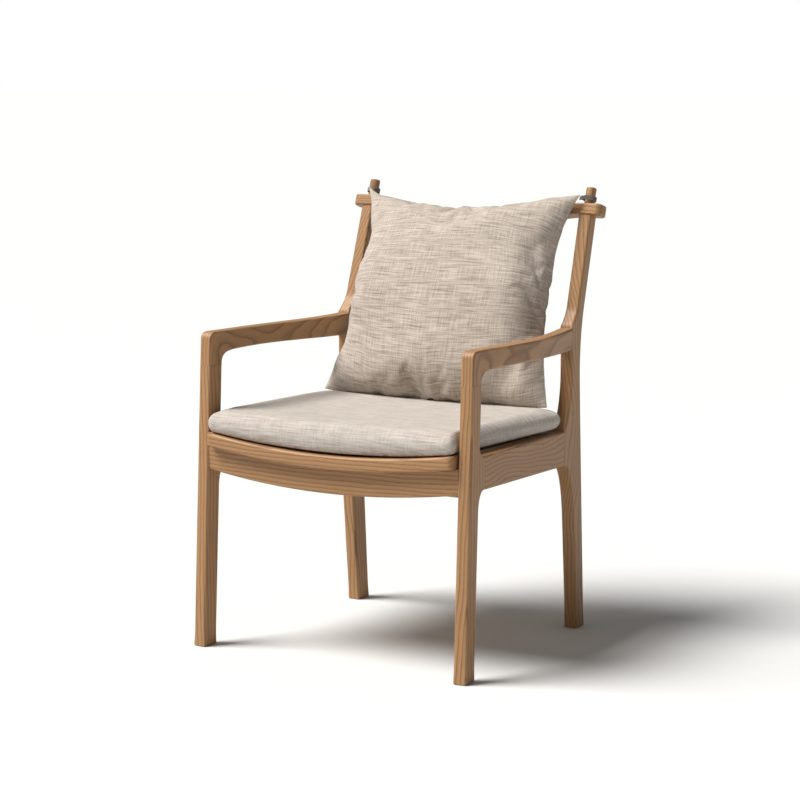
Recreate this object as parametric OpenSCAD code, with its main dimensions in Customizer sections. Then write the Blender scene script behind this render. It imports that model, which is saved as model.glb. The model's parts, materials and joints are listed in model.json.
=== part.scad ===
// Wooden armchair with bowed arms, a dished seat and a cushion hung from two pegs.
// Millimetres, +Z up, the sitter faces -Y. The origin is on the floor under the middle of the chair.
// A side frame is drawn flat in (s, z): s runs from front to back along the frame, z is the height.

/* [Overall] */
// Height of the peg tops above the floor
total_h = 820; // [780:1:990]
// Half the distance between the side frames, at the middle of the seat
frame_half_w = 252; // [235:1:305]
// Turn of each side frame about Z, which makes the chair wider at the front
toe_in = 3.9; // [3:0.1:4.5]
// Thickness of the timber in the legs, arms and side rails
stock_t = 24.6; // [22:0.2:30]
// Length along a side frame from its middle to the front foot
front_reach = 281.5; // [265:0.5:340]
// Length along a side frame from its middle to the rear foot
rear_reach = 235.5; // [225:0.5:290]

/* [Legs and posts] */
// Width of the front leg, seen from the side
front_leg_w = 36; // [32:1:44]
// Backward lean of the front leg
front_leg_rake = 2.65; // [1:0.05:4]
// Width of the rear leg at the floor, seen from the side
rear_foot_w = 36.5; // [32:0.5:44]
// How far the post's back stands forward of the rear foot, at the waist under the arm
waist_in = 30; // [20:1:36]
// Width of the post where it becomes straight, seen from the side
post_w = 30.5; // [27:0.5:34]
// Backward lean of the post above the arm
back_lean = 17.8; // [14:0.1:21.5]

/* [Arms] */
// Height of the joint between front leg and arm
seam_h = 512; // [490:1:560]
// Height of the arm's top at the front
arm_h = 572; // [560:1:660]
// Height of the arm's timber behind the front corner
arm_front_t = 38; // [32:1:44]
// Height of the arm's timber at the post
arm_rear_t = 41; // [36:1:48]
// How far the arm bows outward between leg and post
arm_bow = 12; // [4:1:16]
// Radius of the arm's outer front corner
arm_corner_r = 13; // [8:1:20]

/* [Seat frame] */
// Height of the side rail's top at the front leg
rail_top_h = 388; // [360:1:470]
// Height of the side rail's timber at the front leg
rail_front_t = 60; // [50:1:70]
// Height of the side rail's timber at the post
rail_rear_t = 65; // [54:1:76]
// Fall of the side rail's top from front to back
rail_fall = 6; // [0:1:10]
// Height of the front apron's timber
apron_t = 46; // [38:1:56]
// Thickness of the apron and the rear rail
apron_d = 22; // [18:1:26]
// Height of the seat lip's timber
lip_t = 24; // [18:1:28]
// Depth of the seat lip from front to back
lip_d = 42; // [32:1:50]
// How far the lip stands in front of the apron
lip_proud = 17; // [8:1:20]
// How far the lip's ends stand above the side rail
lip_rise = 7; // [4:1:10]
// Forward bow of the lip and the apron in plan
front_bow = 8; // [4:1:16]
// Dip of the seat across its width
seat_dip = 20; // [10:1:24]
// Gap between the lip and each front leg
lip_gap = 4; // [2:0.5:6]
// Thickness of the plywood seat board
board_t = 12; // [9:1:15]

/* [Back] */
// How far the crest rail's ends reach past the pegs
crest_overhang = 32.5; // [26:0.5:45]
// Width of the crest rail from front to back
crest_w = 34; // [30:1:40]
// Thickness of the crest rail
crest_t = 22; // [18:1:25]
// Dip of the crest rail between the posts
crest_dip = 25; // [0:1:32]
// Radius of the pegs on top of the posts
peg_r = 9.5; // [8:0.1:10.5]
// Height of the pegs above the crest rail
peg_stand = 32; // [28:1:44]
// Distance between neighbouring spindles
spindle_pitch = 74; // [55:1:80]
// Radius of a spindle at its thickest
spindle_r = 9; // [7.5:0.5:10.5]
// Radius of a spindle's ends
spindle_end_r = 6; // [5:0.5:7]

/* [Upholstery] */
// How far the seat pad reaches past the middle of each side frame
pad_side = 7; // [2:0.5:9]
// Thickness of the seat pad at its sides
pad_t = 36; // [30:1:48]
// Radius of the seat pad's rear corners in plan
pad_corner_r = 30; // [20:1:40]
// Radius of the seat pad's front corners in plan
pad_front_r = 16; // [10:1:24]
// How far the back cushion's corners stay inside the pegs
cushion_side = 3.2; // [2:0.1:10]
// Bulge of the back cushion's front
cushion_front = 72; // [50:1:90]
// Bulge of the back cushion's rear
cushion_rear = 14; // [8:1:16]
// How far the back cushion's sides pull in between its corners
cushion_pull = 15; // [8:1:20]
// Width of the band of each peg loop
loop_band = 9; // [6:0.5:12]

/* [Joinery] */
// Radius of a dowel
dowel_r = 4; // [3:0.5:5]
// Length of a dowel
dowel_l = 34; // [26:1:40]
// Radius of a screw's shank
screw_r = 2; // [1.5:0.25:2.5]
// Clearance round dowels, pegs, spindles and screws in their holes
fit_gap = 0.15; // [0.1:0.05:0.3]
// Gap between upholstery and wood
soft_gap = 0.8; // [0.5:0.1:2]

/* [Hidden] */
$fn = 64;

ash = [0.70, 0.55, 0.38];
ash_dark = [0.60, 0.45, 0.30];
linen = [0.83, 0.78, 0.72];
steel = [0.72, 0.72, 0.74];

left = -1;
right = 1;
far = 1000;
curve_steps = 10;
arc_steps = 24;

// Side frame, in (s, z)
foot_chamfer = 1.5;
rake = tan(front_leg_rake);
function leg_front(z) = -front_reach + z * rake;
function leg_rear(z) = leg_front(z) + front_leg_w;
rail_front_s = leg_rear(rail_top_h) + 18;
rail_rear_s = rear_reach - 101.5;
rail_rear_top = rail_top_h - rail_fall;
rail_front_bottom = rail_top_h - rail_front_t;
rail_rear_bottom = rail_rear_top - rail_rear_t;
arm_end_s = rear_reach - 69.5;
arm_end_top = arm_h - 3.5;
arm_end_bottom = arm_end_top - arm_rear_t;
waist = [rear_reach - waist_in, (rail_rear_top + arm_h) / 2 + 10];
bend_z = arm_h + 36;
bend_s = waist[0] + 18;
lean = tan(back_lean);
foot_front_s = rear_reach - rear_foot_w;
leg_slope = 0.092;
knee_z = rail_rear_bottom - 105;
knee = [foot_front_s - leg_slope * knee_z, knee_z];

// Crest rail and pegs; across is the direction square to the post, in the side view
peg_chamfer = 1.5;
peg_top_z = total_h - (peg_r - peg_chamfer) * sin(back_lean);
crest_z = peg_top_z - (peg_stand + crest_t / 2) * cos(back_lean);
post_axis_s = bend_s - post_w / 2 + (crest_z - bend_z) * lean;
crest_y = post_axis_s * cos(toe_in);
peg_x = frame_half_w - post_axis_s * sin(toe_in);
crest_l = 2 * (peg_x + crest_overhang);

// Seat frame across the chair
leg_inner_x = frame_half_w - leg_front(lip_z()) * sin(toe_in) - stock_t / 2 * cos(toe_in);
apron_front_y = leg_front(rail_top_h - 40) * cos(toe_in) + 2;
lip_front_y = apron_front_y - lip_proud;
span = leg_inner_x + 12;
lip_end_x = leg_inner_x - lip_gap;
lip_back_y = lip_front_y + lip_d;
function lip_z() = rail_top_h + lip_rise;
apron_top = lip_z() - lip_t;
rear_rail_y = rail_rear_s + 30;
rear_rail_top = rail_rear_top - 2;
rear_rail_bottom = rear_rail_top - 58;
seat_tilt = atan(rail_fall / (rail_rear_s - rail_front_s));
board_drop = 4;
board_front_y = lip_back_y + 1.2;
board_rear_y = rail_rear_s - 4;
cleat_t = 20;

// The crest rail is level over the posts and dips between them, like the seat
crest_dip_x = peg_x - stock_t / 2 - 2;
function crest_drop(x) = crest_dip * pow(max(0, 1 - pow(x / crest_dip_x, 2)), 1.5);

// Spindles, from the rear rail's top to the crest rail's underside
spindle_count = 5;
spindle_foot = [rear_rail_y, rear_rail_top];
socket_d = 13;
shoulder_gap = 1;
function spindle_x(i) = (i - (spindle_count + 1) / 2) * spindle_pitch;
function spindle_run(i) = let (low = crest_t / 2 + crest_drop(spindle_x(i)))
    [crest_y - low * sin(back_lean), crest_z - low * cos(back_lean)] - spindle_foot;
function spindle_lean(i) = atan(spindle_run(i)[0] / spindle_run(i)[1]);
function spindle_l(i) = norm(spindle_run(i));

// Upholstery
pad_w = 2 * (frame_half_w + pad_side);
pad_front_y = lip_front_y - front_bow + 3;
pad_rear_y = rail_rear_s - 4;
pad_neck_x = frame_half_w - leg_rear(rail_top_h) * sin(toe_in) - stock_t / 2 - 1.5 * soft_gap;
pad_neck_y = leg_rear(rail_top_h) + 10;
cushion_lean = back_lean + 3.2;
cushion_foot_z = lip_z() + pad_t + 3;
loop_lift = 12;
loop_z = crest_z + (crest_t / 2 + loop_lift) * cos(back_lean);
cushion_w = 2 * (peg_x - cushion_side);
cushion_top_z = loop_z + (crest_w + loop_band) / 2 * sin(back_lean) + 1;
cushion_h = (cushion_top_z - cushion_foot_z) / cos(cushion_lean);
cushion_edge = 6;
cushion_turn = cushion_lean - back_lean;
cushion_rear_gap = cushion_edge + 1 + max([for (i = [0:arc_steps]) let (t = i / arc_steps)
    cushion_h * t * sin(cushion_turn) + cushion_rear * pow(sin(180 * t), 0.8)]);
crest_front_y = crest_y - crest_w / 2 / cos(back_lean);
cushion_foot_y = crest_front_y - (crest_z - cushion_foot_z) * lean - cushion_rear_gap / cos(back_lean);
loop_t = 2.2;
loop_gap = 2.2;
cushion_to_crest = cushion_rear_gap - cushion_edge - cushion_h * sin(cushion_turn);

// The whole chair is centred on the origin
back_edge_y = crest_y + (peg_top_z - crest_z) * lean + peg_r * cos(back_lean) - peg_chamfer * sin(back_lean);
front_edge_y = lip_front_y - front_bow;
centre_y = (front_edge_y + back_edge_y) / 2;

// Points on a cubic curve from a to d
function curve(a, b, c, d, steps = curve_steps) =
    [for (i = [0:steps]) let (t = i / steps)
        pow(1 - t, 3) * a + 3 * pow(1 - t, 2) * t * b + 3 * (1 - t) * t * t * c + t * t * t * d];

// 1 in the middle of the chair and 0 at the front legs
function hump(x) = 1 - pow(x / leg_inner_x, 2);
function across_x(reach) = [for (i = [0:arc_steps]) reach * (2 * i / arc_steps - 1)];
function back_to_front(list) = [for (i = [len(list) - 1:-1:0]) list[i]];

module centred() {
    translate([0, -centre_y, 0]) children();
}

// Side frame coordinates (n outward, s backward, z up) of the right or left side
module in_frame(side) {
    mirror([side == left ? 1 : 0, 0, 0])
        translate([frame_half_w, 0, 0]) rotate([0, 0, toe_in]) children();
}

// A flat piece of a side frame from its (s, z) outline
module frame_piece(outline, thick = stock_t) {
    translate([thick / 2, 0, 0]) rotate([90, 0, -90]) mirror([1, 0, 0])
        linear_extrude(thick) polygon(outline);
}

// Rods for dowels, and for the holes that hold them when grow is more than zero
module rod(radius, length, grow = 0) {
    cylinder(r = radius + grow, h = length + 2 * grow, center = true);
}

module along_s() {
    rotate([90, 0, 0]) children();
}

module along_x() {
    rotate([0, 90, 0]) children();
}

module arm_dowel_set(grow = 0) {
    seam_mid = (leg_front(seam_h) + leg_rear(seam_h)) / 2;
    for (step = [-9, 9]) translate([0, seam_mid + step, seam_h]) rod(dowel_r, dowel_l, grow);
    for (step = [-9, 9])
        translate([0, arm_end_s, (arm_end_top + arm_end_bottom) / 2 + step])
            along_s() rod(dowel_r, dowel_l, grow);
}

module side_rail_dowel_set(grow = 0) {
    for (step = [-15, 15]) {
        translate([0, rail_front_s, rail_top_h - rail_front_t / 2 + step])
            along_s() rod(dowel_r, dowel_l, grow);
        translate([0, rail_rear_s, rail_rear_top - rail_rear_t / 2 + step])
            along_s() rod(dowel_r, dowel_l, grow);
    }
}

rear_inner_x = frame_half_w - rear_rail_y * sin(toe_in) - stock_t / 2;

// Dowels of the front apron and the rear rail, in chair coordinates
module cross_rail_dowel_set(side, grow = 0) {
    for (step = [-12, 12]) {
        translate([side * leg_inner_x, apron_front_y + apron_d / 2, apron_top - apron_t / 2 + step])
            along_x() rod(dowel_r, dowel_l, grow);
        translate([side * rear_inner_x, rear_rail_y, (rear_rail_top + rear_rail_bottom) / 2 + step])
            along_x() rod(dowel_r, dowel_l, grow);
    }
}

// Space between the two side frames, for pieces that butt against them
module between_frames() {
    difference() {
        translate([-far / 2, -far / 2, 0]) cube([far, far, far]);
        for (side = [left, right])
            in_frame(side) translate([-stock_t / 2, -far, -1]) cube([far, 2 * far, far + 2]);
    }
}

function leg_outline() = concat(
    [[leg_front(foot_chamfer), foot_chamfer], [leg_front(0) + foot_chamfer, 0],
        [leg_rear(0) - foot_chamfer, 0], [leg_rear(foot_chamfer), foot_chamfer]],
    curve([leg_rear(rail_front_bottom - 38), rail_front_bottom - 38],
        [leg_rear(rail_front_bottom - 12), rail_front_bottom - 12],
        [rail_front_s - 12, rail_front_bottom], [rail_front_s, rail_front_bottom]),
    curve([rail_front_s, rail_top_h], [rail_front_s - 10, rail_top_h],
        [leg_rear(rail_top_h + 8), rail_top_h + 8], [leg_rear(rail_top_h + 18), rail_top_h + 18]),
    [[leg_rear(seam_h), seam_h], [leg_front(seam_h), seam_h]]
);

module leg_front_part(side) {
    color(ash) centred() difference() {
        in_frame(side) difference() {
            frame_piece(leg_outline());
            arm_dowel_set(fit_gap);
            side_rail_dowel_set(fit_gap);
        }
        cross_rail_dowel_set(side, fit_gap);
    }
}

function post_outline() = let (top_z = crest_z + crest_t)
    concat(
        [[foot_front_s, 0], [rear_reach - foot_chamfer, 0]],
        curve([rear_reach, foot_chamfer], [rear_reach - 11, 150],
            [waist[0] + 4, waist[1] - 110], waist),
        curve(waist, waist + [0, 45], [bend_s, bend_z] - 38 * [lean, 1], [bend_s, bend_z]),
        [[bend_s + (top_z - bend_z) * lean, top_z],
            [bend_s - post_w + (top_z - bend_z) * lean, top_z]],
        curve([bend_s - post_w, bend_z], [bend_s - post_w, bend_z] - 26 * [lean, 1],
            [arm_end_s, arm_end_top + 12], [arm_end_s, arm_end_top - 4]),
        curve([arm_end_s, waist[1] - 5], [arm_end_s, waist[1] - 45],
            [rail_rear_s + 16, rail_rear_top + 18], [rail_rear_s, rail_rear_top]),
        curve([rail_rear_s, rail_rear_bottom], [rail_rear_s + 25, rail_rear_bottom - 1],
            knee + [-leg_slope * 55, 55], knee)
    );

// Everything above the crest rail's underside, in chair coordinates
module above_crest(start = -crest_t / 2) {
    translate([0, crest_y, crest_z]) rotate([-back_lean, 0, 0])
        translate([-far / 2, -far / 2, start]) cube([far, far, far]);
}

// Along a post's axis, measured from the middle of the crest rail
module at_peg(side) {
    translate([side * peg_x, crest_y, crest_z]) rotate([-back_lean, 0, 0]) children();
}

module post_rear_part(side) {
    top = peg_stand + crest_t / 2;
    color(ash) centred() union() {
        difference() {
            in_frame(side) difference() {
                frame_piece(post_outline());
                arm_dowel_set(fit_gap);
                side_rail_dowel_set(fit_gap);
            }
            cross_rail_dowel_set(side, fit_gap);
            above_crest();
        }
        at_peg(side) translate([0, 0, -crest_t]) cylinder(r = peg_r, h = top - peg_chamfer + crest_t);
        at_peg(side) translate([0, 0, top - peg_chamfer])
            cylinder(r1 = peg_r, r2 = peg_r - peg_chamfer, h = peg_chamfer);
    }
}

function arm_outline() = concat(
    [[leg_front(seam_h), seam_h], [leg_rear(seam_h), seam_h]],
    curve([leg_rear(seam_h), seam_h + 1], [leg_rear(seam_h) + 1, arm_h - arm_front_t - 3],
        [leg_rear(seam_h) + 18, arm_h - arm_front_t], [leg_rear(seam_h) + 50, arm_h - arm_front_t]),
    curve([leg_rear(seam_h) + 60, arm_h - arm_front_t],
        [leg_rear(seam_h) + 160, arm_h - arm_front_t + 1],
        [arm_end_s - 66, arm_end_bottom - 2], [arm_end_s, arm_end_bottom]),
    curve([arm_end_s, arm_end_top], [arm_end_s - 126, arm_end_top - 5.5],
        [leg_front(arm_h) + 145, arm_h - 2], [leg_front(arm_h) + arm_corner_r, arm_h]),
    curve([leg_front(arm_h) + arm_corner_r, arm_h], [leg_front(arm_h) + arm_corner_r * 0.45, arm_h],
        [leg_front(arm_h - arm_corner_r * 0.45), arm_h - arm_corner_r * 0.45],
        [leg_front(arm_h - arm_corner_r), arm_h - arm_corner_r])
);

// Outward bow of the arm at s, none at its two ends
function bow(s) = let (start = leg_rear(seam_h), t = (s - start) / (arm_end_s - start))
    s <= start ? 0 : arm_bow * pow(max(0, sin(180 * t)), 1.3);

module arm_part(side) {
    start = leg_rear(seam_h);
    stations = concat([start - 60], [for (i = [0:16]) start + (arm_end_s - start) * i / 16]);
    outer = [for (s = stations) [bow(s) + stock_t / 2, s]];
    inner = [for (s = back_to_front(stations)) [bow(s) - stock_t / 2, s]];
    color(ash) centred() in_frame(side) difference() {
        intersection() {
            frame_piece(arm_outline(), 3 * stock_t + 2 * arm_bow);
            translate([0, 0, seam_h - 1]) linear_extrude(arm_h - seam_h + 2)
                polygon(concat(outer, inner));
        }
        arm_dowel_set(fit_gap);
    }
}

module side_rail_part(side) {
    color(ash_dark) centred() difference() {
        in_frame(side) difference() {
            frame_piece([[rail_front_s, rail_front_bottom], [rail_rear_s, rail_rear_bottom],
                [rail_rear_s, rail_rear_top], [rail_front_s, rail_top_h]]);
            side_rail_dowel_set(fit_gap);
        }
        block_screw_set(fit_gap);
    }
}

// A curved band across the chair: flat outline in plan, and dipping by seat_dip in elevation
module dished(top, thick) {
    upper = [for (x = across_x(span)) [x, top - seat_dip * hump(x)]];
    lower = [for (x = back_to_front(across_x(span))) [x, top - thick - seat_dip * hump(x)]];
    intersection() {
        translate([0, far / 2, 0]) rotate([90, 0, 0]) linear_extrude(far) polygon(concat(upper, lower));
        children();
    }
}

module front_apron() {
    front = [for (x = across_x(span)) [x, apron_front_y - front_bow * hump(x)]];
    back = [for (x = back_to_front(across_x(span))) [x, apron_front_y + apron_d - front_bow * hump(x)]];
    color(ash) centred() difference() {
        intersection() {
            dished(apron_top, apron_t) linear_extrude(far / 2) polygon(concat(front, back));
            between_frames();
        }
        cross_rail_dowel_set(left, fit_gap);
        cross_rail_dowel_set(right, fit_gap);
        block_screw_set(fit_gap);
    }
}

module seat_lip() {
    r = 9;
    x_end = lip_end_x - r;
    front = [for (x = across_x(x_end)) [x, lip_front_y - front_bow * hump(x)]];
    corner = curve([x_end, front[0][1]], [x_end + r * 0.55, front[0][1] + 0.5],
        [lip_end_x, front[0][1] + r * 0.45], [lip_end_x, front[0][1] + r + 1], 6);
    right_edge = concat(front, corner, [[lip_end_x, lip_back_y]]);
    left_edge = [for (p = back_to_front(concat(corner, [[lip_end_x, lip_back_y]]))) [-p[0], p[1]]];
    color(ash) centred() difference() {
        dished(lip_z(), lip_t)
            linear_extrude(far / 2) polygon(concat(right_edge, left_edge));
        board_screw_set(fit_gap);
    }
}

module rear_rail() {
    color(ash_dark) centred() difference() {
        intersection() {
            translate([-far / 2, rear_rail_y - apron_d / 2, rear_rail_bottom])
                cube([far, apron_d, rear_rail_top - rear_rail_bottom]);
            between_frames();
        }
        cross_rail_dowel_set(left, fit_gap);
        cross_rail_dowel_set(right, fit_gap);
        for (i = [1:spindle_count]) at_spindle(i) translate([0, 0, -socket_d])
            cylinder(r = spindle_end_r + fit_gap, h = 2 * socket_d);
        block_screw_set(fit_gap);
    }
}

module crest_rail() {
    r = 12;
    half = [crest_l / 2, crest_w / 2];
    corner = curve([half[0] - r, -half[1]], [half[0] - r * 0.45, -half[1]],
        [half[0], -half[1] + r * 0.45], [half[0], -half[1] + r], 6);
    right_end = concat(corner, [for (p = back_to_front(corner)) [p[0], -p[1]]]);
    outline = concat(right_end, [for (p = right_end) [-p[0], -p[1]]]);
    stations = [for (x = across_x(crest_dip_x)) x];
    reach = crest_l / 2 + 1;
    upper = concat([[-reach, crest_t / 2]], [for (x = stations) [x, crest_t / 2 - crest_drop(x)]],
        [[reach, crest_t / 2]]);
    lower = [for (p = back_to_front(upper)) [p[0], p[1] - crest_t]];
    color(ash) centred() difference() {
        translate([0, crest_y, crest_z]) rotate([-back_lean, 0, 0]) intersection() {
            translate([0, 0, -far / 2]) linear_extrude(far) polygon(outline);
            translate([0, far / 2, 0]) rotate([90, 0, 0]) linear_extrude(far) polygon(concat(upper, lower));
        }
        for (side = [left, right]) at_peg(side) cylinder(r = peg_r + fit_gap, h = 2 * crest_t, center = true);
        for (i = [1:spindle_count]) at_spindle(i) translate([0, 0, spindle_l(i) - socket_d])
            cylinder(r = spindle_end_r + fit_gap, h = 2 * socket_d);
    }
}

// Along a spindle's axis, measured from the rear rail's top
module at_spindle(i) {
    translate([spindle_x(i), spindle_foot[0], spindle_foot[1]])
        rotate([-spindle_lean(i), 0, 0]) children();
}

module spindle_part(i) {
    low = spindle_end_r * tan(spindle_lean(i)) + shoulder_gap;
    shaft = spindle_l(i) - 2 * low;
    waist_at = 0.4;
    color(ash) centred() at_spindle(i) union() {
        translate([0, 0, 0.5 - socket_d])
            cylinder(r = spindle_end_r, h = spindle_l(i) + 2 * socket_d - 1);
        translate([0, 0, low]) cylinder(r1 = spindle_end_r, r2 = spindle_r, h = shaft * waist_at);
        translate([0, 0, low + shaft * waist_at])
            cylinder(r1 = spindle_r, r2 = spindle_end_r, h = shaft * (1 - waist_at));
    }
}

// Falls to the rear with the side rails
module seat_tilted() {
    translate([0, lip_back_y, lip_z()]) rotate([-seat_tilt, 0, 0])
        translate([0, -lip_back_y, -lip_z()]) children();
}

module seat_board() {
    edge_gap = 1.5;
    color([0.78, 0.68, 0.52]) centred() difference() {
        intersection() {
            seat_tilted() dished(lip_z() - board_drop, board_t)
                translate([-far / 2, board_front_y, 0]) cube([far, board_rear_y - board_front_y, far / 2]);
            difference() {
                translate([-far / 2, -far / 2, 0]) cube([far, far, far]);
                for (side = [left, right])
                    in_frame(side) translate([-stock_t / 2 - edge_gap, -far, -1])
                        cube([far, 2 * far, far + 2]);
            }
        }
        board_screw_set(fit_gap);
    }
}

cleat_front_s = rail_front_s + 55;
cleat_rear_s = rail_rear_s - 60;

module seat_cleat_part(side) {
    drop = 0.5;
    top = lip_z() - board_drop - board_t - drop;
    color(ash_dark) centred() difference() {
        intersection() {
            in_frame(side) translate([-stock_t / 2 - cleat_t, cleat_front_s, 0])
                cube([cleat_t, cleat_rear_s - cleat_front_s, far / 2]);
            seat_tilted() dished(top, cleat_t)
                translate([-far / 2, -far / 2, 0]) cube([far, far, far]);
        }
        board_screw_set(fit_gap);
    }
}

block_w = 64;
block_h = 30;
block_z = apron_top - apron_t / 2 - seat_dip / 2 - 6;

// Triangular block in the corner at (x, y) that points towards the middle of the seat
module corner_block(side, front) {
    edge = front ? -1 : 1;
    x = front ? leg_inner_x : rear_inner_x;
    y = front ? apron_front_y + apron_d : rear_rail_y - apron_d / 2;
    out = 30;
    color(ash_dark) centred() difference() {
        intersection() {
            between_frames();
            translate([0, 0, block_z - block_h / 2]) linear_extrude(block_h) polygon([
                [side * (x - block_w), y], [side * (x + out), y],
                [side * (x + out), y - edge * (block_w + out)],
            ]);
        }
        if (front) in_frame(side) frame_piece(leg_outline(), 2 * stock_t);
        block_screw_set(fit_gap);
    }
}

// Screws through the corner blocks into the side rails
module block_screw_set(grow = 0) {
    depth = 8;
    head_h = 2.5;
    for (side = [left, right], y = [rail_front_s + dowel_l / 2 + 6, rail_rear_s - dowel_l / 2 - 8])
        translate([side * (frame_half_w - y * sin(toe_in) - stock_t / 2 - depth), y, block_z])
            rotate([0, side * 90, 0]) {
                cylinder(r = screw_r + grow, h = depth + stock_t / 2 + 4);
                translate([0, 0, -head_h]) cylinder(r = 2 * screw_r + grow, h = head_h);
                if (grow > 0) translate([0, 0, -60]) cylinder(r = 2 * screw_r + grow, h = 60);
            }
}

// Screws up through the cleats into the seat board
module board_screw_set(grow = 0) {
    head_h = 2.5;
    for (side = [left, right], s = [cleat_front_s + 25, (cleat_front_s + cleat_rear_s) / 2, cleat_rear_s - 25]) {
        x = frame_half_w - s * sin(toe_in) - stock_t / 2 - cleat_t / 2;
        z = lip_z() - board_drop - board_t - cleat_t - seat_dip * hump(x)
            - (s - lip_back_y) * tan(seat_tilt) - 1;
        translate([side * x, s, z]) {
            cylinder(r = screw_r + grow, h = cleat_t + board_t - 3);
            translate([0, 0, -head_h]) cylinder(r = 2 * screw_r + grow, h = head_h + 0.6);
        }
    }
}

module seat_cushion() {
    front = [for (x = across_x(pad_neck_x - pad_front_r)) [x, pad_front_y + front_bow * (1 - hump(x))]];
    side_y = front[0][1] + pad_front_r;
    half = pad_w / 2;
    corner = curve([pad_neck_x - pad_front_r, front[0][1]],
        [pad_neck_x - pad_front_r * 0.45, front[0][1]],
        [pad_neck_x, side_y - pad_front_r * 0.55], [pad_neck_x, side_y], 6);
    neck = curve([pad_neck_x, pad_neck_y], [pad_neck_x, pad_neck_y + 6],
        [half, pad_neck_y + 6], [half, pad_neck_y + 14], 4);
    rear = curve([half, pad_rear_y - pad_corner_r], [half, pad_rear_y - pad_corner_r * 0.45],
        [half - pad_corner_r * 0.55, pad_rear_y], [half - pad_corner_r, pad_rear_y], 6);
    right_edge = concat(corner, neck, rear);
    left_edge = [for (p = back_to_front(right_edge)) [-p[0], p[1]]];
    color(linen) centred() intersection() {
        seat_tilted() dished(lip_z() + soft_gap + pad_t + seat_dip, pad_t + seat_dip)
            linear_extrude(far / 2) polygon(concat(front, right_edge, left_edge));
        seat_tilted() translate([-far / 2, -far / 2, 0]) cube([far, far, lip_z() + soft_gap + pad_t]);
    }
}

// Cushion coordinates: x across, y square to the cushion towards its back, z up along it
module at_cushion() {
    translate([0, cushion_foot_y, cushion_foot_z]) rotate([-cushion_lean, 0, 0]) children();
}

// Lens outline: the front bulges towards -Y, the rear is flatter
function lens(length, from) = concat(
    [for (i = [0:arc_steps]) let (t = i / arc_steps)
        [from + length * t, -cushion_edge - cushion_front * pow(sin(180 * t), 0.8)]],
    [for (i = [arc_steps:-1:0]) let (t = i / arc_steps)
        [from + length * t, cushion_edge + cushion_rear * pow(sin(180 * t), 0.8)]]
);

module back_pillow() {
    half = cushion_w / 2;
    pull = [for (i = [0:arc_steps]) cushion_pull * sin(180 * i / arc_steps)];
    right_edge = [for (i = [0:arc_steps]) [half - pull[i], cushion_h * i / arc_steps]];
    top_edge = [for (i = [1:arc_steps - 1]) [half - cushion_w * i / arc_steps, cushion_h - pull[i]]];
    left_edge = [for (p = back_to_front(right_edge)) [-p[0], p[1]]];
    color(linen) centred() at_cushion() intersection() {
        linear_extrude(cushion_h) polygon(lens(cushion_w, -half));
        translate([half, 0, 0]) rotate([0, -90, 0]) linear_extrude(cushion_w) polygon(lens(cushion_h, 0));
        translate([0, far / 2, 0]) rotate([90, 0, 0]) linear_extrude(far)
            polygon(concat(right_edge, top_edge, left_edge));
    }
}

// Fabric ring round a peg with a short tongue to the cushion's corner
module pillow_loop_part(side) {
    inner_r = peg_r + loop_gap;
    outer_r = inner_r + loop_t;
    tongue_end = crest_w / 2 + cushion_to_crest - 0.5;
    color([0.45, 0.42, 0.38]) centred() at_peg(side)
        translate([0, 0, crest_t / 2 + loop_lift - loop_band / 2]) union() {
            difference() {
                cylinder(r = outer_r, h = loop_band);
                translate([0, 0, -1]) cylinder(r = inner_r, h = loop_band + 2);
            }
            translate([-side * 3 - loop_t / 2, -tongue_end, 0])
                cube([loop_t, tongue_end - outer_r + 0.5, loop_band]);
        }
}

leg_front_part(left);  // leg_front_left
leg_front_part(right);  // leg_front_right
post_rear_part(left);  // post_rear_left
post_rear_part(right);  // post_rear_right
arm_part(left);  // arm_left
arm_part(right);  // arm_right
side_rail_part(left);  // side_rail_left
side_rail_part(right);  // side_rail_right
front_apron();
seat_lip();
rear_rail();
crest_rail();
spindle_part(1);  // spindle_1
spindle_part(2);  // spindle_2
spindle_part(3);  // spindle_3
spindle_part(4);  // spindle_4
spindle_part(5);  // spindle_5
seat_board();
seat_cleat_part(left);  // seat_cleat_left
seat_cleat_part(right);  // seat_cleat_right
corner_block(left, true);  // corner_block_front_left
corner_block(right, true);  // corner_block_front_right
corner_block(left, false);  // corner_block_rear_left
corner_block(right, false);  // corner_block_rear_right
color(steel) centred() block_screw_set();  // block_screws
color(steel) centred() board_screw_set();  // board_screws
arm_dowels();
side_rail_dowels();
cross_rail_dowels();
seat_cushion();
back_pillow();
pillow_loop_part(left);  // pillow_loop_left
pillow_loop_part(right);  // pillow_loop_right

module arm_dowels() {
    color(ash_dark) centred() for (side = [left, right]) in_frame(side) arm_dowel_set();
}

module side_rail_dowels() {
    color(ash_dark) centred() for (side = [left, right]) in_frame(side) side_rail_dowel_set();
}

module cross_rail_dowels() {
    color(ash_dark) centred() for (side = [left, right]) cross_rail_dowel_set(side);
}
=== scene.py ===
import json
import math

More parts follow.
